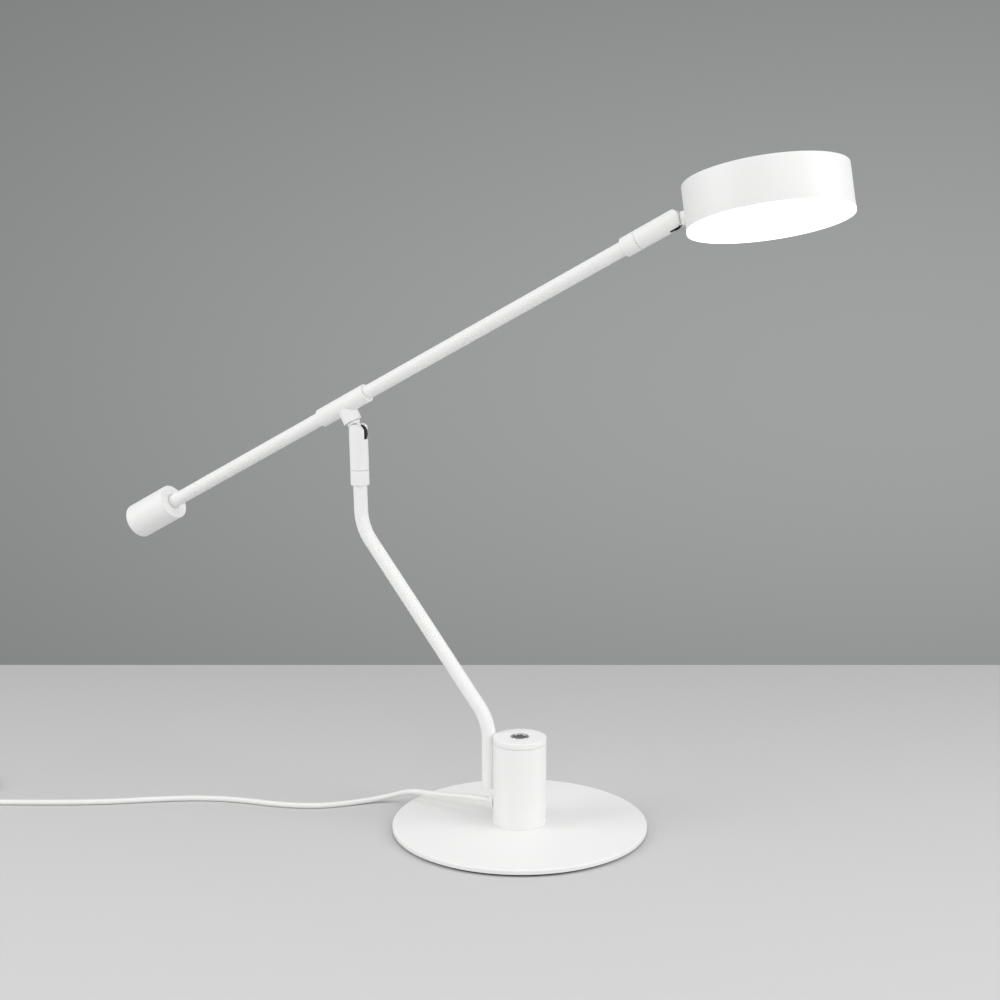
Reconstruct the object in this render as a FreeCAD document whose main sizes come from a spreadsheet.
"""Counterweight balance desk lamp.

Millimetres, +Z up, origin at the centre of the base disc on the floor.
The lamp stands with its boom reaching to the right (+X) and a little to the front (-Y).
A cranked pole rises beside the round housing on the base disc.  On top of the pole a forked
knuckle swivels and carries the boom; a second knuckle on the boom's end carries the lamp head.
"""
import FreeCAD, Part
import Sketcher
import math
import os

os.makedirs("parts", exist_ok=True)

# Driving dimensions, millimetres and degrees.  Each one is a cell of the sheet.
SIZES = {
    # base disc
    "base_dia": 220.0,
    "plate_thick": 4.0,
    "plate_chamfer": 0.8,
    "pad_thick": 2.0,
    "pad_inset": 3.0,
    # housing on the disc
    "housing_dia": 45.8,
    "housing_wall": 2.0,
    "housing_height": 76.4,
    "housing_round": 0.8,
    "floor_thick": 6.0,
    "cap_height": 4.8,
    "cap_plate": 3.2,
    "cap_spigot": 3.0,
    "cap_seam": 0.3,
    "base_screw_dia": 4.0,
    "base_screw_head": 7.4,
    "base_screw_circle": 26.0,
    "base_screw_count": 3,
    "base_screw_short": 1.0,
    # touch switch in the cap
    "touch_dia": 16.0,
    "touch_rim": 2.0,
    "touch_proud": 0.4,
    "touch_depth": 1.4,
    "touch_edge": 0.3,
    "lens_recess": 0.7,
    "lens_border": 1.2,
    "lens_fall": 0.15,
    "lens_dish": 0.45,
    "lens_step": 1.0,
    "lens_stem": 2.0,
    "board_thick": 1.6,
    # driver inside the housing
    "driver_width": 24.0,
    "driver_depth": 20.0,
    "driver_height": 42.0,
    "driver_round": 2.0,
    "terminal_width": 16.0,
    "terminal_depth": 9.0,
    "terminal_height": 8.0,
    "terminal_way_dia": 2.8,
    "terminal_pitch": 5.0,
    "pillar_dia": 4.0,
    # pole
    "tube_dia": 12.2,
    "tube_wall": 1.25,
    "pole_azimuth": 155.2,
    "pole_gap": 0.3,
    "pole_foot_z": 34.0,
    "pole_bend_z": 91.8,
    "pole_reach": 123.3,
    "pole_elbow_z": 253.9,
    "pole_lean": 1.3,
    "pole_bend_radius": 46.0,
    "pole_seam_z": 304.1,
    "plug_flange": 1.5,
    "plug_spigot": 6.0,
    "plug_lead_in": 1.0,
    "nut_bar_thick": 3.0,
    "nut_bar_width": 5.7,
    "nut_bar_length": 20.0,
    "pole_screw_dia": 3.0,
    "pole_screw_head": 5.5,
    "pole_screw_head_thick": 2.0,
    "pole_screw_rise": 11.5,
    "pole_screw_pitch": 11.0,
    "wire_hole_rise": 7.5,
    "wire_dia": 3.0,
    "wire_gap": 0.15,
    "wire_start": 4.0,
    "grommet_wall": 1.0,
    "grommet_in_housing": 1.0,
    "grommet_in_tube": 0.2,
    # knuckles (one on the pole, one on the boom)
    "knuckle_dia": 16.4,
    "ferrule_length": 13.0,
    "ferrule_socket": 7.0,
    "ferrule_edge": 0.4,
    "seam_edge": 0.2,
    "knuckle_length": 32.0,
    "seam_gap": 0.3,
    "slot_width": 6.4,
    "slot_depth": 4.8,
    "hub_gap": 0.4,
    "tongue_thick": 5.0,
    "washer_thick": 0.6,
    "washer_inset": 0.6,
    "pin_dia": 4.0,
    "pin_head_dia": 6.8,
    "pin_head_thick": 2.0,
    "pin_head_recess": 0.4,
    "key_dia": 2.5,
    "key_depth": 1.2,
    "pin_end_wall": 1.6,
    "stem_dia": 11.6,
    "stem_gap": 0.5,
    "stem_spigot_step": 2.0,
    "axle_dia": 7.0,
    "axle_bore": 4.0,
    "axle_thread": 10.0,
    "axle_flange_dia": 9.0,
    "axle_flange_thick": 1.6,
    "spring_washer_thick": 0.6,
    "running_gap": 0.05,
    # boom
    "boom_swivel": -1.1,
    "boom_tilt": 26.8,
    "boom_rise": 27.5,
    "sleeve_length": 52.5,
    "sleeve_shift": -1.3,
    "collar_length": 7.9,
    "boom_front": 307.4,
    "boom_wire_short": 1.0,
    "weight_near": 212.1,
    "weight_length": 47.5,
    "weight_dia": 32.4,
    "weight_round": 2.5,
    "weight_bore_depth": 30.0,
    "weight_lip": 0.9,
    "weight_edge": 0.5,
    "grub_dia": 4.0,
    "grub_length": 6.0,
    # head
    "head_swivel": -9.6,
    "head_tilt": 16.0,
    "head_dia": 127.6,
    "head_height": 35.2,
    "head_wall": 1.0,
    "head_round": 1.2,
    "neck_length": 15.7,
    "neck_offset": -0.9,
    "neck_thread_step": 1.0,
    "neck_thread_proud": 1.0,
    "diffuser_thick": 4.5,
    "diffuser_proud": 2.5,
    "diffuser_gap": 0.1,
    "diffuser_edge": 0.4,
    "led_board_gap": 3.2,
    "led_board_thick": 1.2,
    "standoff_length": 12.0,
    "standoff_dia": 6.0,
    "standoff_inset": 14.0,
    "standoff_count": 3,
    "standoff_floor": 2.0,
    "head_screw_dia": 3.0,
    "head_screw_head": 5.5,
    "head_screw_head_thick": 2.0,
    "head_screw_depth": 6.0,
    "neck_nut_dia": 16.0,
    "neck_nut_thick": 4.0,
    # cord
    "cord_dia": 4.8,
    "gland_z": 21.4,
    "gland_azimuth": 155.2,
    "gland_flange_dia": 14.0,
    "gland_flange_thick": 1.8,
    "gland_thread_dia": 8.5,
    "gland_nose": 3.6,
    "gland_nose_dia": 7.4,
    "gland_taper": 0.6,
    "gland_tail": 0.5,
    "gland_run": 17.4,
    "gland_nut_dia": 12.0,
    "gland_nut_thick": 3.0,
    "coil_gap": 0.45,
    "coil_turns": 3.5,
    "coil_mid_dia": 57.6,
    "coil_tail": 16.0,
    "plug_length": 34.0,
    "plug_width": 26.0,
    "plug_round": 4.0,
    "relief_length": 24.0,
    "relief_dia": 8.6,
    "relief_wall": 0.9,
    "contact_dia": 4.0,
    "contact_length": 19.0,
    "contact_spacing": 18.6,
}

# The cord's free stretch, from its straight run out of the gland to the coil: points chosen by hand.
# Height is that of the cord's centre.
CORD_ROUTE = [
    (-57.0, 30.0, 18.6),
    (-76.0, 43.0, 15.6),
    (-98.0, 57.6, 13.2),
    (-118.0, 66.0, 4.6),
    (-142.0, 59.0, 2.4),
    (-177.0, 47.0, 2.4),
    (-214.0, 50.5, 2.4),
    (-251.0, 63.5, 2.4),
    (-288.0, 68.6, 2.4),
    (-325.0, 65.6, 2.4),
    (-376.0, 57.6, 2.4),
    (-428.0, 56.4, 2.4),
    (-478.0, 57.8, 2.4),
    (-526.0, 57.8, 2.4),
]

doc = FreeCAD.newDocument("counterweight_desk_lamp")
sheet = doc.addObject("Spreadsheet::Sheet", "Sizes")
for row, (word, number) in enumerate(SIZES.items(), start=1):
    sheet.set(f"A{row}", word)
    sheet.set(f"B{row}", str(number))
    sheet.setAlias(f"B{row}", word)
doc.recompute()


class Size:
    """A length that knows both its number and the sheet expression it comes from."""

    def __init__(self, number, words):
        self.number = float(number)
        self.words = words

    @staticmethod
    def of(value):
        return value if isinstance(value, Size) else Size(value, repr(float(value)))

    def __add__(self, other):
        other = Size.of(other)
        return Size(self.number + other.number, f"({self.words} + {other.words})")

    def __radd__(self, other):
        return Size.of(other) + self

    def __sub__(self, other):
        other = Size.of(other)
        return Size(self.number - other.number, f"({self.words} - {other.words})")

    def __rsub__(self, other):
        return Size.of(other) - self

    def __mul__(self, other):
        other = Size.of(other)
        return Size(self.number * other.number, f"({self.words} * {other.words})")

    def __rmul__(self, other):
        return Size.of(other) * self

    def __truediv__(self, other):
        other = Size.of(other)
        return Size(self.number / other.number, f"({self.words} / {other.words})")

    def __neg__(self):
        return 0.0 - self

    def __float__(self):
        return self.number


def size(word):
    """The named cell of the sheet."""
    return Size(sheet.get(word), f"Sizes.{word}")


SAME_PLACE = 1e-4  # two places closer than this are one
Vector = FreeCAD.Vector
X_AXIS, Y_AXIS, Z_AXIS = Vector(1, 0, 0), Vector(0, 1, 0), Vector(0, 0, 1)
AXIS_TURN = {
    "Z": FreeCAD.Rotation(),
    "X": FreeCAD.Rotation(Y_AXIS, 90),
    "Y": FreeCAD.Rotation(X_AXIS, -90),
}


def bind(feature, prop, value):
    """Set a property to a size, and tie it to the sheet."""
    value = Size.of(value)
    feature.setExpression(prop, value.words)


def place(feature, at, along="Z"):
    feature.Placement = FreeCAD.Placement(Vector(*[float(v) for v in at]), AXIS_TURN[along])
    for letter, value in zip("xyz", at):
        bind(feature, f"Placement.Base.{letter}", value)


def cylinder(radius, height, at=(0, 0, 0), along="Z"):
    feature = doc.addObject("Part::Cylinder", "Cylinder")
    bind(feature, "Radius", radius)
    bind(feature, "Height", height)
    place(feature, at, along)
    return feature


def cone(radius1, radius2, height, at=(0, 0, 0), along="Z"):
    feature = doc.addObject("Part::Cone", "Cone")
    bind(feature, "Radius1", radius1)
    bind(feature, "Radius2", radius2)
    bind(feature, "Height", height)
    place(feature, at, along)
    return feature


def box(length, width, height, at):
    """A box centred on its X and Y, rising from the given point."""
    feature = doc.addObject("Part::Box", "Box")
    bind(feature, "Length", length)
    bind(feature, "Width", width)
    bind(feature, "Height", height)
    x, y, z = at
    place(feature, (Size.of(x) - Size.of(length) / 2, Size.of(y) - Size.of(width) / 2, z))
    return feature


def fused(*features):
    if len(features) == 1:
        return features[0]
    feature = doc.addObject("Part::MultiFuse", "Fusion")
    feature.Shapes = list(features)
    feature.Refine = True
    return feature


def drilled(base, *tools):
    feature = doc.addObject("Part::Cut", "Cut")
    feature.Base = base
    feature.Tool = fused(*tools)
    return feature


def common(base, tool):
    feature = doc.addObject("Part::Common", "Common")
    feature.Base = base
    feature.Tool = tool
    return feature


def group(*features):
    """Separate solids that share one node, such as a set of screws."""
    feature = doc.addObject("Part::Compound", "Group")
    feature.Links = list(features)
    return feature


def turned(outline):
    """A body revolved about Z from an outline of (radius, height) points, each tied to the sheet."""
    body = doc.addObject("PartDesign::Body", "Turned")
    plane = [f for f in body.Origin.OriginFeatures if f.Role == "XZ_Plane"][0]
    sketch = body.newObject("Sketcher::SketchObject", "Outline")
    sketch.AttachmentSupport = [(plane, "")]
    sketch.MapMode = "FlatFace"
    points = [Vector(float(r), float(z), 0) for r, z in outline]
    count = len(points)
    for i in range(count):
        sketch.addGeometry(Part.LineSegment(points[i], points[(i + 1) % count]), False)
    for i in range(count):
        sketch.addConstraint(Sketcher.Constraint("Coincident", i, 2, (i + 1) % count, 1))
    for i, (radius, height) in enumerate(outline):
        for kind, axis, value in (("DistanceX", -2, radius), ("DistanceY", -1, height)):
            if abs(float(value)) < 1e-9:
                sketch.addConstraint(Sketcher.Constraint("PointOnObject", i, 1, axis))
                continue
            number = sketch.addConstraint(
                Sketcher.Constraint(kind, -1, 1, i, 1, float(value)))
            if isinstance(value, Size):
                sketch.setExpression(f"Constraints[{number}]", value.words)
    turn = body.newObject("PartDesign::Revolution", "Turn")
    turn.Profile = sketch
    turn.ReferenceAxis = (sketch, ["V_Axis"])
    turn.Angle = 360
    doc.recompute()
    return body


def rounded(body, radius, at_radius, at_height):
    """Round the circular edge of a turned body that has this radius and height."""
    solid = body.Tip
    names = []
    for number, edge in enumerate(solid.Shape.Edges, start=1):
        curve = edge.Curve
        if not isinstance(curve, Part.Circle):
            continue
        off = max(abs(curve.Radius - float(at_radius)), abs(curve.Center.z - float(at_height)))
        if off < SAME_PLACE:
            names.append(f"Edge{number}")
    fillet = body.newObject("PartDesign::Fillet", "Round")
    fillet.Base = (solid, names)
    bind(fillet, "Radius", radius)
    doc.recompute()
    return body


def soft_box(solid, radius):
    """Round the four upright edges of a box."""
    soft = doc.addObject("Part::Fillet", "Soft_edges")
    soft.Base = solid
    doc.recompute()
    upright = [i for i, edge in enumerate(solid.Shape.Edges, start=1)
               if abs(edge.tangentAt(edge.FirstParameter).z) > 0.99]
    soft.Edges = [(i, float(radius), float(radius)) for i in upright]
    return soft


SUB_PARTS = []
OVERCUT = 1.0  # how far a cutting shape runs past the face that it cuts through


def sub_part(label, feature, frame=None):
    """Name a finished piece; the frame puts it in its place on the lamp."""
    if frame is not None and feature.TypeId in ("Part::Cylinder", "Part::Cone", "Part::Box"):
        feature = group(feature)
    feature.Label = label
    if frame is not None:
        feature.Placement = frame
    SUB_PARTS.append(feature)
    return feature


def shaped(label, shape, frame=None):
    """A piece that follows a path, kept as a plain feature with its computed shape."""
    feature = doc.addObject("Part::Feature", "Shaped")
    feature.Shape = shape
    feature.Label = label
    if frame is not None:
        feature.Placement = frame
    SUB_PARTS.append(feature)
    return feature


def shift(x=0.0, y=0.0, z=0.0):
    return FreeCAD.Placement(Vector(float(x), float(y), float(z)), FreeCAD.Rotation())


def spin(axis, degrees):
    return FreeCAD.Placement(Vector(), FreeCAD.Rotation(axis, float(degrees)))


def round_path(points, radii=None):
    """Straight runs joined by tangent arcs; each arc is as large as its two runs allow."""
    points = [Vector(*p) for p in points]
    edges = []
    bends = []
    last = points[0]
    for i in range(1, len(points) - 1):
        before, here, after = points[i - 1], points[i], points[i + 1]
        run_in, run_out = here - before, after - here
        half_turn = run_in.getAngle(run_out) / 2
        if radii is None:
            reach = 0.45 * min(run_in.Length, run_out.Length)
            radius = reach / math.tan(half_turn)
        else:
            radius = radii[i - 1]
            reach = radius * math.tan(half_turn)
        bends.append(radius)
        start = here - Vector(run_in).normalize() * reach
        end = here + Vector(run_out).normalize() * reach
        inward = (Vector(run_out).normalize() - Vector(run_in).normalize()).normalize()
        middle = here + inward * (radius / math.cos(half_turn) - radius)
        edges.append(Part.LineSegment(last, start).toShape())
        edges.append(Part.Arc(start, middle, end).toShape())
        last = end
    edges.append(Part.LineSegment(last, points[-1]).toShape())
    return Part.Wire(edges), bends


def tube_along(path, radius):
    """A round solid swept along a wire whose first edge starts straight."""
    first = path.Edges[0]
    start = first.valueAt(first.FirstParameter)
    heading = first.tangentAt(first.FirstParameter)
    ring = Part.Wire(Part.makeCircle(radius, start, heading))
    return path.makePipeShell([ring], True, False)


# Named sizes that several pieces share
pad_thick = size("pad_thick")
plate_top = pad_thick + size("plate_thick")
base_radius = size("base_dia") / 2
housing_radius = size("housing_dia") / 2
housing_bore = housing_radius - size("housing_wall")
housing_top = plate_top + size("housing_height")
cap_seam_z = housing_top - size("cap_height")
floor_top = plate_top + size("floor_thick")
running_gap = size("running_gap")
tube_radius = size("tube_dia") / 2
tube_bore = tube_radius - size("tube_wall")
wire_radius = size("wire_dia") / 2
knuckle_radius = size("knuckle_dia") / 2
half_seam = size("seam_gap") / 2
pin_radius = size("pin_dia") / 2
axle_radius = size("axle_dia") / 2
stem_radius = size("stem_dia") / 2
screw_radius = size("base_screw_dia") / 2
cord_radius = size("cord_dia") / 2

# Frames.  Each one is placed in the frame before it, as the lamp is put together.
POLE = spin(Z_AXIS, size("pole_azimuth")) * shift(x=housing_radius + size("pole_gap") + tube_radius)
lean = math.radians(float(size("pole_lean")))
pole_rise = float(size("pole_seam_z") - size("pole_elbow_z"))
pole_top_x = float(size("pole_reach")) + pole_rise * math.tan(lean)
POLE_SEAM = POLE * shift(x=pole_top_x, z=size("pole_seam_z")) * spin(Y_AXIS, size("pole_lean"))
POLE_KNUCKLE = POLE_SEAM * spin(Z_AXIS, 180 + float(size("boom_swivel")))
POLE_PIVOT = POLE_KNUCKLE * shift(z=size("knuckle_length"))
STEM = POLE_PIVOT * spin(Y_AXIS, -float(size("boom_tilt")))
BOOM = STEM * shift(z=size("boom_rise"))
BOOM_SEAM = BOOM * shift(x=size("boom_front")) * spin(Y_AXIS, 90)
HEAD_KNUCKLE = BOOM_SEAM * spin(Z_AXIS, size("head_swivel"))
HEAD_PIVOT = HEAD_KNUCKLE * shift(z=size("knuckle_length"))
NECK = HEAD_PIVOT * spin(Y_AXIS, size("head_tilt"))
drum_reach = size("neck_length") + size("head_dia") / 2
DRUM = NECK * shift(x=size("neck_offset"), z=drum_reach) * spin(Y_AXIS, 90)
GLAND = spin(Z_AXIS, size("gland_azimuth")) * shift(x=housing_radius, z=size("gland_z")) * spin(Y_AXIS, 90)


def ring_of(count, radius, build):
    """Build one feature at each of count places on a circle; build takes x and y."""
    features = []
    for i in range(int(count)):
        angle = 2 * math.pi * (i + 0.5) / int(count)
        features.append(build(radius * math.cos(angle), radius * math.sin(angle)))
    return features


# ---- base disc -------------------------------------------------------------------------------

def base_screw_places(build):
    return ring_of(sheet.get("base_screw_count"), size("base_screw_circle") / 2, build)


def build_base():
    pad_radius = base_radius - size("pad_inset")
    sub_part("anti_slip_pad", cylinder(pad_radius, pad_thick))

    chamfer = size("plate_chamfer")
    plate = turned([
        (0, pad_thick),
        (base_radius - chamfer, pad_thick),
        (base_radius, pad_thick + chamfer),
        (base_radius, plate_top - chamfer),
        (base_radius - chamfer, plate_top),
        (0, plate_top),
    ])
    head_radius = size("base_screw_head") / 2
    sink = head_radius - screw_radius
    holes = base_screw_places(lambda x, y: cylinder(screw_radius, size("plate_thick"), (x, y, pad_thick)))
    sinks = base_screw_places(lambda x, y: cone(head_radius, screw_radius, sink, (x, y, pad_thick)))
    sub_part("base_plate", drilled(plate, *holes, *sinks))

    shank = size("plate_thick") + size("floor_thick") - size("base_screw_short")
    screws = []
    for x, y in base_screw_places(lambda x, y: (x, y)):
        head = cone(head_radius, screw_radius, sink, (x, y, pad_thick))
        body = cylinder(screw_radius, shank, (x, y, pad_thick))
        screws.append(fused(head, body))
    sub_part("base_screws", group(*screws))

    floor_disc = cylinder(housing_bore - running_gap, size("floor_thick"), (0, 0, plate_top))
    tapped = base_screw_places(lambda x, y: cylinder(screw_radius, size("floor_thick"), (x, y, plate_top)))
    sub_part("housing_floor", drilled(floor_disc, *tapped))


# ---- housing ---------------------------------------------------------------------------------

def pole_screw_heights():
    low = size("pole_foot_z") + size("pole_screw_rise")
    return (low, low + size("pole_screw_pitch"))


def wire_hole_height():
    return pole_screw_heights()[1] + size("wire_hole_rise")


def to_pole(feature):
    """Carry a feature built in the pole's frame to the lamp's frame, to cut another piece."""
    moved = group(feature)
    moved.Placement = POLE
    return moved


def build_housing():
    wall_height = cap_seam_z - size("cap_seam") - plate_top
    shell = drilled(cylinder(housing_radius, wall_height, (0, 0, plate_top)),
                    cylinder(housing_bore, wall_height, (0, 0, plate_top)))
    reach = size("housing_wall") * 3
    start = -(size("pole_gap") + tube_radius) - size("housing_wall") * 2
    cuts = []
    for z in pole_screw_heights():
        cuts.append(to_pole(cylinder(size("pole_screw_dia") / 2, reach, (start, 0, z), "X")))
    grommet_radius = wire_radius + running_gap + size("grommet_wall")
    cuts.append(to_pole(cylinder(grommet_radius, reach, (start, 0, wire_hole_height()), "X")))
    gland_hole = group(cylinder(size("gland_thread_dia") / 2, reach, (0, 0, -reach)))
    gland_hole.Placement = GLAND
    sub_part("housing_tube", drilled(shell, *cuts, gland_hole))

    touch_radius = size("touch_dia") / 2
    hole_radius = touch_radius - size("touch_rim") / 2
    seat_z = housing_top + size("touch_proud") - size("touch_depth")
    spigot_radius = housing_bore - running_gap
    spigot_z = cap_seam_z - size("cap_spigot")
    under_z = housing_top - size("cap_plate")
    cap = turned([
        (hole_radius, under_z),
        (spigot_radius - size("housing_wall"), under_z),
        (spigot_radius - size("housing_wall"), spigot_z),
        (spigot_radius, spigot_z),
        (spigot_radius, cap_seam_z),
        (housing_radius, cap_seam_z),
        (housing_radius, housing_top),
        (touch_radius, housing_top),
        (touch_radius, seat_z),
        (hole_radius, seat_z),
    ])
    rounded(cap, size("housing_round"), housing_radius, housing_top)
    sub_part("housing_cap", cap)

    rim_inner = touch_radius - size("touch_rim")
    rim_top = housing_top + size("touch_proud")
    lens_top = rim_top - size("lens_recess")
    edge = size("touch_edge")
    rim = turned([
        (rim_inner, seat_z),
        (touch_radius, seat_z),
        (touch_radius, rim_top - edge),
        (touch_radius - edge, rim_top),
        (rim_inner + edge, rim_top),
        (rim_inner, rim_top - edge),
    ])
    sub_part("touch_rim", rim)
    board_top = under_z - size("lens_stem")
    lens_stem_radius = rim_inner - size("lens_step")
    lens = turned([
        (0, board_top),
        (lens_stem_radius, board_top),
        (lens_stem_radius, seat_z),
        (rim_inner, seat_z),
        (rim_inner, lens_top),
        (rim_inner - size("lens_border"), lens_top - size("lens_fall")),
        (0, lens_top - size("lens_dish")),
    ])
    sub_part("touch_lens", lens)
    board_radius = spigot_radius - size("housing_wall") - running_gap
    board = cylinder(board_radius, size("board_thick"), (0, 0, board_top - size("board_thick")))
    sub_part("touch_board", board)
    return board_top - size("board_thick")


# ---- driver and wiring inside the housing ----------------------------------------------------

def build_driver(board_under):
    case = box(size("driver_width"), size("driver_depth"), size("driver_height"), (0, 0, floor_top))
    sub_part("driver_case", soft_box(case, size("driver_round")))
    case_top = floor_top + size("driver_height")

    block = box(size("terminal_width"), size("terminal_depth"), size("terminal_height"), (0, 0, case_top))
    way_z = case_top + size("terminal_height") / 2
    ways = [cylinder(size("terminal_way_dia") / 2, size("terminal_depth"),
                     (size("terminal_pitch") * i, -(size("terminal_depth") / 2), way_z), "Y")
            for i in (-1, 0, 1)]
    sub_part("terminal_block", drilled(block, *ways))
    pillar_z = case_top + size("terminal_height")
    pillar = cylinder(size("pillar_dia") / 2, board_under - pillar_z, (0, 0, pillar_z))
    sub_part("board_pillar", pillar)


# ---- pole ------------------------------------------------------------------------------------

def pole_path(foot, top_back, inset=0.0):
    """The pole's centre line in its own plane, from a foot height to the leaning top."""
    top_z = float(size("pole_seam_z")) - top_back * math.cos(lean)
    top = (pole_top_x - top_back * math.sin(lean), 0, top_z)
    points = [
        (inset, 0, float(foot)),
        (inset, 0, float(size("pole_bend_z"))),
        (float(size("pole_reach")) + inset, 0, float(size("pole_elbow_z"))),
        (top[0] + inset, 0, top[2]),
    ]
    radius = float(size("pole_bend_radius"))
    return round_path(points, [radius, radius])[0]


def build_pole():
    socket_end = half_seam + size("ferrule_length") - size("ferrule_socket")
    path = pole_path(size("pole_foot_z"), float(socket_end))
    outer = tube_along(path, float(tube_radius))
    inner = tube_along(path, float(tube_bore))
    tube = outer.cut(inner)
    x0 = -float(tube_radius) - OVERCUT
    for z in pole_screw_heights():
        hole = Part.makeCylinder(float(size("pole_screw_dia")) / 2, -x0, Vector(x0, 0, float(z)), X_AXIS)
        tube = tube.cut(hole)
    grommet_radius = float(wire_radius + running_gap + size("grommet_wall"))
    wire_z = wire_hole_height()
    tube = tube.cut(Part.makeCylinder(grommet_radius, -x0, Vector(x0, 0, float(wire_z)), X_AXIS))
    shaped("pole_tube", tube, POLE)

    foot = size("pole_foot_z")
    spigot_radius = tube_bore - running_gap
    plug = turned([
        (0, foot - size("plug_flange")),
        (tube_radius, foot - size("plug_flange")),
        (tube_radius, foot),
        (spigot_radius, foot),
        (spigot_radius, foot + size("plug_spigot") - size("plug_lead_in")),
        (spigot_radius - size("plug_lead_in"), foot + size("plug_spigot")),
        (0, foot + size("plug_spigot")),
    ])
    sub_part("pole_end_plug", plug, POLE)

    # The nut bar lies against the tube's inside, next to the housing.
    bar_thick = size("nut_bar_thick")
    bar_width = size("nut_bar_width")
    bar_face = -math.sqrt(float(tube_bore - running_gap) ** 2 - float(bar_width / 2) ** 2)
    low, high = pole_screw_heights()
    bar_foot = (low + high) / 2 - size("nut_bar_length") / 2
    bar = box(bar_thick, bar_width, size("nut_bar_length"), (bar_thick / 2 + bar_face, 0, bar_foot))
    thread = size("pole_screw_dia") / 2
    taps = [cylinder(thread, bar_thick, (bar_face, 0, z), "X") for z in (low, high)]
    sub_part("pole_nut_bar", drilled(bar, *taps), POLE)

    head_radius = size("pole_screw_head") / 2
    to_axis = housing_radius + size("pole_gap") + tube_radius
    seat = (math.sqrt(float(housing_bore) ** 2 - float(head_radius) ** 2)
            - float(to_axis + running_gap))
    screws = []
    for z in (low, high):
        head = cylinder(head_radius, size("pole_screw_head_thick"),
                        (seat - size("pole_screw_head_thick"), 0, z), "X")
        length = bar_thick + (bar_face - seat)
        screws.append(fused(head, cylinder(thread, length, (seat, 0, z), "X")))
    sub_part("pole_screws", group(*screws), POLE)

    bush_radius = wire_radius + running_gap + size("grommet_wall")
    bush_start = -(size("pole_gap") + tube_radius) - size("housing_wall") - size("grommet_in_housing")
    bush_length = -tube_bore + size("grommet_in_tube") - bush_start
    bush = drilled(cylinder(bush_radius, bush_length, (bush_start, 0, wire_z), "X"),
                   cylinder(wire_radius + running_gap, bush_length, (bush_start, 0, wire_z), "X"))
    sub_part("wire_grommet", bush, POLE)

    # The low-voltage wire comes through the grommet, turns up and runs inside the tube.
    turn_radius = float(wire_radius) * 2
    wire_back = float(half_seam + size("ferrule_length") + size("axle_flange_thick"))
    drift = float(tube_bore - wire_radius - size("wire_gap"))
    top = (pole_top_x + drift - wire_back * math.sin(lean),
           float(size("pole_seam_z")) - wire_back * math.cos(lean))
    wire_points = [
        (float(bush_start - size("wire_start")), 0, float(wire_z)),
        (drift, 0, float(wire_z)),
        (drift, 0, float(size("pole_bend_z"))),
        (float(size("pole_reach")) + drift, 0, float(size("pole_elbow_z"))),
        (top[0], 0, top[1]),
    ]
    bend = float(size("pole_bend_radius"))
    wire_path = round_path(wire_points, [turn_radius, bend, bend])[0]
    shaped("pole_wire", tube_along(wire_path, float(wire_radius)), POLE)


# ---- knuckles --------------------------------------------------------------------------------

def build_ferrule(label, frame):
    """The collar on a tube's end; its top face is the seam that the knuckle turns on."""
    top = -half_seam
    foot = top - size("ferrule_length")
    shoulder = foot + size("ferrule_socket")
    socket_radius = tube_radius + running_gap
    bore = axle_radius + running_gap
    edge = size("ferrule_edge")
    seam_edge = size("seam_edge")
    ferrule = turned([
        (socket_radius, foot),
        (knuckle_radius - edge, foot),
        (knuckle_radius, foot + edge),
        (knuckle_radius, top - seam_edge),
        (knuckle_radius - seam_edge, top),
        (bore, top),
        (bore, shoulder),
        (socket_radius, shoulder),
    ])
    sub_part(label, ferrule, frame)
    return shoulder


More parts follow.
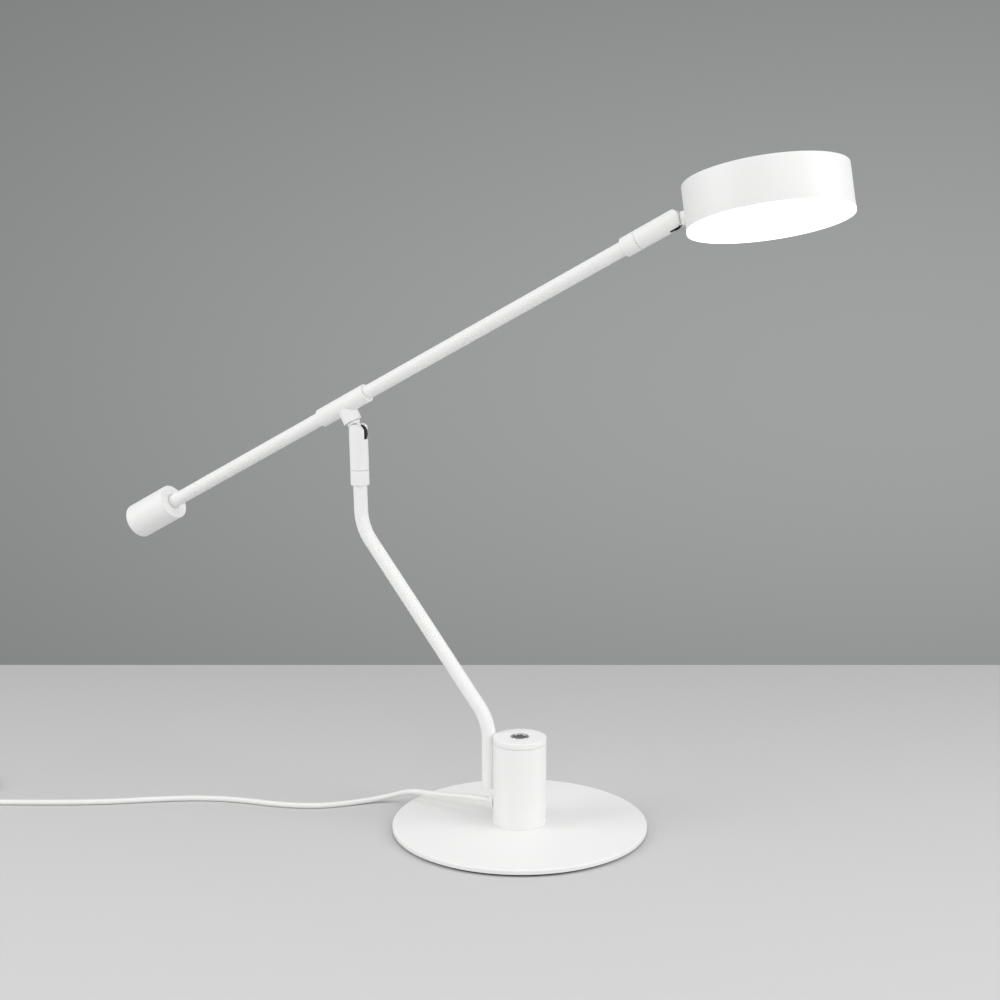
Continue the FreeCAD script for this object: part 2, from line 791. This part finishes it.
def build_knuckle(prefix, frame, shoulder):
    """The forked barrel with its hollow swivel axle, spring washer, hinge pin and friction washers."""
    pivot = size("knuckle_length")
    tip = pivot + knuckle_radius
    barrel = cylinder(knuckle_radius, tip - half_seam, (0, 0, half_seam))
    dome = cylinder(knuckle_radius, size("knuckle_dia"), (0, -knuckle_radius, pivot), "Y")
    below = box(size("knuckle_dia"), size("knuckle_dia"), pivot - half_seam, (0, 0, half_seam))
    outline = common(barrel, fused(dome, below))
    slot_floor = pivot - size("slot_depth")
    slot = box(size("knuckle_dia") * 2, size("slot_width"), size("slot_depth") + size("knuckle_dia"),
               (0, 0, slot_floor))
    axle_hole = cylinder(axle_radius, size("axle_thread"), (0, 0, half_seam))
    wire_way = cylinder(size("axle_bore") / 2, slot_floor, (0, 0, half_seam))
    pin_start = -(knuckle_radius - size("pin_end_wall"))
    pin_hole = cylinder(pin_radius, size("knuckle_dia"), (0, pin_start, pivot), "Y")
    head_start = knuckle_radius - size("pin_head_thick") - size("pin_head_recess")
    head_sink = cylinder(size("pin_head_dia") / 2, size("knuckle_dia"), (0, head_start, pivot), "Y")
    sub_part(f"{prefix}_knuckle",
             drilled(outline, slot, axle_hole, wire_way, pin_hole, head_sink), frame)

    pin = fused(cylinder(pin_radius, head_start - pin_start, (0, pin_start, pivot), "Y"),
                cylinder(size("pin_head_dia") / 2, size("pin_head_thick"), (0, head_start, pivot), "Y"))
    key_depth = size("key_depth")
    key_start = head_start + size("pin_head_thick") - key_depth
    key = cylinder(size("key_dia") / 2, key_depth, (0, key_start, pivot), "Y")
    sub_part(f"{prefix}_hinge_pin", drilled(pin, key), frame)

    washer_radius = knuckle_radius - size("washer_inset")
    washers = []
    for side in (-1, 1):
        face = size("slot_width") / 2
        start = -face if side < 0 else face - size("washer_thick")
        disc = cylinder(washer_radius, size("washer_thick"), (0, start, pivot), "Y")
        flat = box(size("knuckle_dia"), size("slot_width"), washer_radius * 2,
                   (0, 0, slot_floor + running_gap))
        eye = cylinder(pin_radius, size("washer_thick"), (0, start, pivot), "Y")
        washers.append(drilled(common(disc, flat), eye))
    sub_part(f"{prefix}_friction_washers", group(*washers), frame)

    spring = size("spring_washer_thick")
    flange_top = shoulder - running_gap - spring - running_gap
    flange_radius = size("axle_flange_dia") / 2
    axle = turned([
        (size("axle_bore") / 2, flange_top - size("axle_flange_thick")),
        (flange_radius, flange_top - size("axle_flange_thick")),
        (flange_radius, flange_top),
        (axle_radius, flange_top),
        (axle_radius, half_seam + size("axle_thread")),
        (size("axle_bore") / 2, half_seam + size("axle_thread")),
    ])
    sub_part(f"{prefix}_swivel_axle", axle, frame)
    washer_z = shoulder - running_gap - spring
    spring_ring = drilled(cylinder(flange_radius, spring, (0, 0, washer_z)),
                          cylinder(axle_radius, spring, (0, 0, washer_z)))
    sub_part(f"{prefix}_spring_washer", spring_ring, frame)


def tongue(stem_top, spigot_radius, spigot_top):
    """The flat eye on the hinge pin, its round stem and the spigot that fixes it; Z is up the stem."""
    hub_radius = size("slot_depth") - size("hub_gap")
    shoulder = knuckle_radius + size("stem_gap")
    thick = size("tongue_thick")
    eye = cylinder(hub_radius, thick, (0, -(thick / 2), 0), "Y")
    blade = box(hub_radius * 2, thick, shoulder, (0, 0, 0))
    stem = cylinder(stem_radius, stem_top - shoulder, (0, 0, shoulder))
    spigot = cylinder(spigot_radius, spigot_top - shoulder, (0, 0, shoulder))
    bore = cylinder(pin_radius + running_gap, thick * 2, (0, -thick, 0), "Y")
    return drilled(fused(eye, blade, stem, spigot), bore)


# ---- boom ------------------------------------------------------------------------------------

def build_boom(shoulder):
    rise = size("boom_rise")
    sleeve_foot = rise - knuckle_radius
    collar_foot = sleeve_foot - size("collar_length")
    stem_top = collar_foot - size("seam_gap")
    spigot = stem_radius - size("stem_spigot_step")
    boom_tongue = tongue(stem_top, spigot, sleeve_foot)
    sub_part("boom_tongue", boom_tongue, STEM)

    saddle = cylinder(knuckle_radius, size("knuckle_dia") * 2, (-size("knuckle_dia"), 0, rise), "X")
    collar = drilled(cylinder(knuckle_radius, rise - collar_foot, (0, 0, collar_foot)), saddle,
                     cylinder(spigot, rise - collar_foot, (0, 0, collar_foot)))
    sub_part("boom_collar", collar, STEM)

    sleeve_start = size("sleeve_shift") - size("sleeve_length") / 2
    sleeve = drilled(
        cylinder(knuckle_radius, size("sleeve_length"), (sleeve_start, 0, 0), "X"),
        cylinder(tube_radius + running_gap, size("sleeve_length"), (sleeve_start, 0, 0), "X"))
    sub_part("boom_sleeve", sleeve, BOOM)

    tube_back = -size("weight_near") - size("weight_bore_depth") + running_gap
    tube_front = size("boom_front") - half_seam - size("ferrule_length") + size("ferrule_socket")
    length = tube_front - tube_back
    tube = drilled(cylinder(tube_radius, length, (tube_back, 0, 0), "X"),
                   cylinder(tube_bore, length, (tube_back, 0, 0), "X"))
    sub_part("boom_tube", tube, BOOM)

    wire_z = size("wire_gap") - (tube_bore - wire_radius)
    wire_front = (tube_front - size("axle_flange_thick") - size("spring_washer_thick")
                  - size("boom_wire_short"))
    sub_part("boom_wire", cylinder(wire_radius, wire_front, (0, 0, wire_z), "X"), BOOM)


def build_counterweight():
    """Turned about Z, with Z running from its far face to the near face, then laid on the boom."""
    weight_radius = size("weight_dia") / 2
    long = size("weight_length")
    bore = tube_radius + running_gap
    lip = size("weight_lip")
    weight = turned([
        (0, 0),
        (weight_radius, 0),
        (weight_radius, long - size("weight_edge")),
        (weight_radius - size("weight_edge"), long),
        (bore + lip, long),
        (bore + lip, long - lip),
        (bore, long - lip),
        (bore, long - size("weight_bore_depth")),
        (0, long - size("weight_bore_depth")),
    ])
    rounded(weight, size("weight_round"), weight_radius, 0)
    frame = BOOM * shift(x=-size("weight_near") - long) * spin(Y_AXIS, 90)
    grub_radius = size("grub_dia") / 2
    grub_z = long - size("weight_bore_depth") / 2
    tapped = cylinder(grub_radius, weight_radius, (bore - OVERCUT, 0, grub_z), "X")
    sub_part("counterweight", drilled(weight, tapped), frame)
    grub = drilled(cylinder(grub_radius, size("grub_length"), (bore + running_gap, 0, grub_z), "X"),
                   cylinder(grub_radius / 2, size("grub_length") / 2,
                            (bore + running_gap + size("grub_length") / 2, 0, grub_z), "X"))
    sub_part("counterweight_grub_screw", grub, frame)


# ---- head ------------------------------------------------------------------------------------

def build_head():
    radius = size("head_dia") / 2
    half = size("head_height") / 2
    wall = size("head_wall")
    inside = radius - wall
    thread = stem_radius - size("neck_thread_step")
    thread_top = size("neck_length") + wall + size("neck_nut_thick") + size("neck_thread_proud")
    neck = tongue(size("neck_length"), thread, thread_top)
    sub_part("head_neck", neck, NECK)

    shade = turned([
        (0, -half),
        (radius, -half),
        (radius, half),
        (inside, half),
        (inside, -half + wall),
        (0, -half + wall),
    ])
    rounded(shade, size("head_round"), radius, -half)
    hole = cylinder(thread, wall * 6, (inside - wall * 2, 0, -size("neck_offset")), "X")
    sub_part("head_shade", drilled(shade, hole), DRUM)

    nut_radius = size("neck_nut_dia") / 2
    sagitta = float(inside) - math.sqrt(float(inside) ** 2 - float(nut_radius) ** 2)
    nut_start = inside - size("neck_nut_thick") - sagitta - running_gap
    nut = drilled(cylinder(nut_radius, size("neck_nut_thick"), (nut_start, 0, -size("neck_offset")), "X"),
                  cylinder(thread, size("neck_nut_thick"), (nut_start, 0, -size("neck_offset")), "X"))
    sub_part("neck_nut", nut, DRUM)

    # an opal lid: its face covers the rim, and its spigot sits inside the wall
    diffuser_face = half + size("diffuser_proud")
    diffuser_foot = diffuser_face - size("diffuser_thick")
    diffuser_radius = inside - size("diffuser_gap")
    diffuser = turned([
        (0, diffuser_foot),
        (diffuser_radius, diffuser_foot),
        (diffuser_radius, half),
        (radius, half),
        (radius, diffuser_face - size("diffuser_edge")),
        (radius - size("diffuser_edge"), diffuser_face),
        (0, diffuser_face),
    ])
    sub_part("diffuser", diffuser, DRUM)

    board_z = -half + wall + size("standoff_length")
    board_thick = size("led_board_thick")
    board_radius = inside - size("neck_nut_thick") - size("neck_thread_proud") - size("led_board_gap")
    bolt = size("head_screw_dia") / 2
    circle = board_radius - size("standoff_inset")
    count = sheet.get("standoff_count")
    board_holes = ring_of(count, circle, lambda x, y: cylinder(bolt, board_thick, (x, y, board_z)))
    board = cylinder(board_radius, board_thick, (0, 0, board_z))
    sub_part("led_board", drilled(board, *board_holes), DRUM)

    posts = ring_of(count, circle, lambda x, y: drilled(
        cylinder(size("standoff_dia") / 2, size("standoff_length"), (x, y, -half + wall)),
        cylinder(bolt, size("standoff_length") - size("standoff_floor"),
                 (x, y, -half + wall + size("standoff_floor")))))
    sub_part("led_standoffs", group(*posts), DRUM)
    screw_top = board_z + board_thick
    deep = size("head_screw_depth")
    screws = ring_of(count, circle, lambda x, y: fused(
        cylinder(bolt, board_thick + deep, (x, y, board_z - deep)),
        cylinder(size("head_screw_head") / 2, size("head_screw_head_thick"), (x, y, screw_top))))
    sub_part("led_board_screws", group(*screws), DRUM)


# ---- gland, cord and plug --------------------------------------------------------------------

def build_gland():
    flange_radius = size("gland_flange_dia") / 2
    thread = size("gland_thread_dia") / 2
    nut_radius = size("gland_nut_dia") / 2
    nut_face = (math.sqrt(float(housing_bore) ** 2 - float(nut_radius) ** 2)
                - float(housing_radius + running_gap))
    nut_foot = nut_face - size("gland_nut_thick")
    tail = nut_foot - size("gland_tail")
    nose_top = size("gland_flange_thick") + size("gland_nose")
    nose = size("gland_nose_dia") / 2
    gland = turned([
        (0, tail),
        (thread, tail),
        (thread, 0),
        (flange_radius, 0),
        (flange_radius, size("gland_flange_thick")),
        (nose + size("gland_taper"), size("gland_flange_thick")),
        (nose, nose_top),
        (0, nose_top),
    ])
    sub_part("cable_gland", gland, GLAND)
    nut = drilled(cylinder(nut_radius, size("gland_nut_thick"), (0, 0, nut_foot)),
                  cylinder(thread, size("gland_nut_thick"), (0, 0, nut_foot)))
    sub_part("gland_nut", nut, GLAND)
    return nose_top


def coil_place(turn):
    """Radius and height of the coil's centre line after this many turns: in, up a layer, and out."""
    pitch = float(size("cord_dia") + size("coil_gap"))
    turns = float(size("coil_turns"))
    outer = float(size("coil_mid_dia")) / 2 + pitch * turns / 2
    inner = outer - pitch * turns
    low = float(cord_radius)
    if turn <= turns:
        return outer - pitch * turn, low
    if turn >= turns + 0.5:
        return inner + pitch * (turn - turns - 0.5), low + pitch
    rise = (turn - turns) / 0.5
    dip = pitch / (2 * math.pi) * math.sin(math.pi * rise)
    return inner - dip, low + pitch * rise * rise * (3 - 2 * rise)


def coil_line(start, turn):
    """A point of the coil, which starts at a given point heading along -X and turns to the back."""
    outer = coil_place(0)[0]
    radius, height = coil_place(turn)
    angle = -math.pi / 2 - 2 * math.pi * turn
    return Vector(start.x + radius * math.cos(angle), start.y + outer + radius * math.sin(angle), height)


def biarc(start, start_way, end, end_way):
    """Two arcs that leave start and reach end in the given directions, and meet smoothly."""
    chord = end - start
    ways = start_way + end_way
    a = 2 * (1 - start_way.dot(end_way))
    b = 2 * chord.dot(ways)
    c = -chord.dot(chord)
    reach = -c / b if abs(a) < 1e-9 else (-b + math.sqrt(b * b - 4 * a * c)) / (2 * a)
    corner1 = start + start_way * reach
    corner2 = end - end_way * reach
    joint = (corner1 + corner2) / 2
    arcs = []
    for first, corner, last in ((start, corner1, joint), (joint, corner2, end)):
        middle = (first + last) / 2
        half_turn = (corner - first).getAngle(last - corner) / 2
        sag = (corner - middle).normalize() * ((last - first).Length / 2 * math.tan(half_turn / 2))
        arcs.append(Part.Arc(first, middle + sag, last).toShape())
    return arcs


def coil_shape(start, total):
    """The coil as one tube: straight for one cord diameter, then on arcs, then a straight tail."""
    step = 0.25
    little = 1e-4
    count = round(total / step)
    places = [coil_line(start, i * step) for i in range(count + 1)]
    ways = []
    for i in range(count + 1):
        ways.append((coil_line(start, i * step + little) - coil_line(start, i * step - little)).normalize())
    ways[0] = Vector(-1, 0, 0)
    ways[-1] = Vector(0, 1, 0)
    edges = [Part.LineSegment(start - ways[0] * float(size("cord_dia")), start).toShape()]
    for i in range(count):
        edges += biarc(places[i], ways[i], places[i + 1], ways[i + 1])
    finish = places[-1] + ways[-1] * float(size("coil_tail"))
    edges.append(Part.LineSegment(places[-1], finish).toShape())
    path = Part.Wire(edges)
    return tube_along(path, float(cord_radius)), path, finish


def least_gap(path, diameter):
    """The smallest gap between the tube and itself, measured on points along its centre line."""
    step = 1.5
    points = path.discretize(Distance=step)
    skip = int(diameter * 3 / step)
    nearest = 1e9
    for i, point in enumerate(points):
        for other in points[i + skip:]:
            nearest = min(nearest, point.distanceToPoint(other))
    return nearest - diameter


def build_cord(nose_top):
    diameter = float(size("cord_dia"))
    exit_point = GLAND.multVec(Vector(0, 0, float(nose_top)))
    straight_out = GLAND.multVec(Vector(0, 0, float(nose_top + size("gland_run"))))
    coil_start = Vector(*CORD_ROUTE[-1])
    lead_end = coil_start + Vector(diameter, 0, 0)
    points = [exit_point, straight_out] + [Vector(*p) for p in CORD_ROUTE[:-1]] + [lead_end]
    path, bends = round_path(points)
    print("cord bend radii", [round(r, 1) for r in bends])
    lead = tube_along(path, diameter / 2)
    swept = math.pi * diameter ** 2 / 4 * path.Length
    print("cord lead length %.1f, volume %.1f against %.1f" % (path.Length, lead.Volume, swept))
    shaped("cord_lead", lead)

    total = float(size("coil_turns")) * 2 + 0.25
    coil, coil_path, finish = coil_shape(coil_start, total)
    swept = math.pi * diameter ** 2 / 4 * coil_path.Length
    print("coil length %.1f, volume %.1f against %.1f" % (coil_path.Length, coil.Volume, swept))
    print("coil least gap to itself %.2f" % least_gap(coil_path, diameter))
    shaped("cord_coil", coil)

    # The plug lies on the floor at the coil's end, its cord entry at the height of the upper layer.
    plug_frame = FreeCAD.Placement(finish, FreeCAD.Rotation(X_AXIS, -90))
    relief = size("relief_length")
    cuff = turned([
        (0, 0),
        (cord_radius + size("relief_wall"), 0),
        (size("relief_dia") / 2, relief),
        (0, relief),
    ])
    sub_part("cord_plug_relief", cuff, plug_frame)
    thick = finish.z * 2
    body = box(size("plug_width"), thick, size("plug_length"), (0, 0, relief))
    sub_part("cord_plug", group(soft_box(body, size("plug_round"))), plug_frame)
    contact = size("contact_dia") / 2
    side = size("contact_spacing") / 2
    face = relief + size("plug_length")
    contacts = [cylinder(contact, size("contact_length"), (x, 0, face)) for x in (-side, side)]
    sub_part("plug_contacts", group(*contacts), plug_frame)
    print("cord length in all %.0f" % (path.Length + coil_path.Length))


# ---- put together ----------------------------------------------------------------------------

build_base()
board_under = build_housing()
build_driver(board_under)
build_pole()
pole_shoulder = build_ferrule("pole_ferrule", POLE_SEAM)
build_knuckle("pole", POLE_KNUCKLE, pole_shoulder)
build_boom(pole_shoulder)
build_counterweight()
head_shoulder = build_ferrule("boom_ferrule", BOOM_SEAM)
build_knuckle("head", HEAD_KNUCKLE, head_shoulder)
build_head()
build_cord(build_gland())
doc.recompute()

for feature in doc.Objects:
    if "Invalid" in feature.State or "Error" in feature.State:
        raise RuntimeError(f"{feature.Name} ({feature.Label}) did not recompute")
for feature in SUB_PARTS:
    shape = feature.Shape
    if shape.isNull() or not shape.isValid() or shape.Volume <= 0:
        raise RuntimeError(f"{feature.Label} has no good shape")
    shape.exportStep(f"parts/{feature.Label}.step")


def axis_line(name, frame, axis):
    start = frame.Base
    way = frame.Rotation.multVec(axis)
    print("%s at (%.5f, %.5f, %.5f) m, axis (%.6f, %.6f, %.6f)"
          % (name, start.x / 1000, start.y / 1000, start.z / 1000, way.x, way.y, way.z))


axis_line("pole_swivel", POLE_SEAM, Z_AXIS)
axis_line("boom_tilt", POLE_PIVOT, -Y_AXIS)
axis_line("head_swivel", BOOM_SEAM, Z_AXIS)
axis_line("head_tilt", HEAD_PIVOT, Y_AXIS)
print(len(SUB_PARTS), "sub-parts")
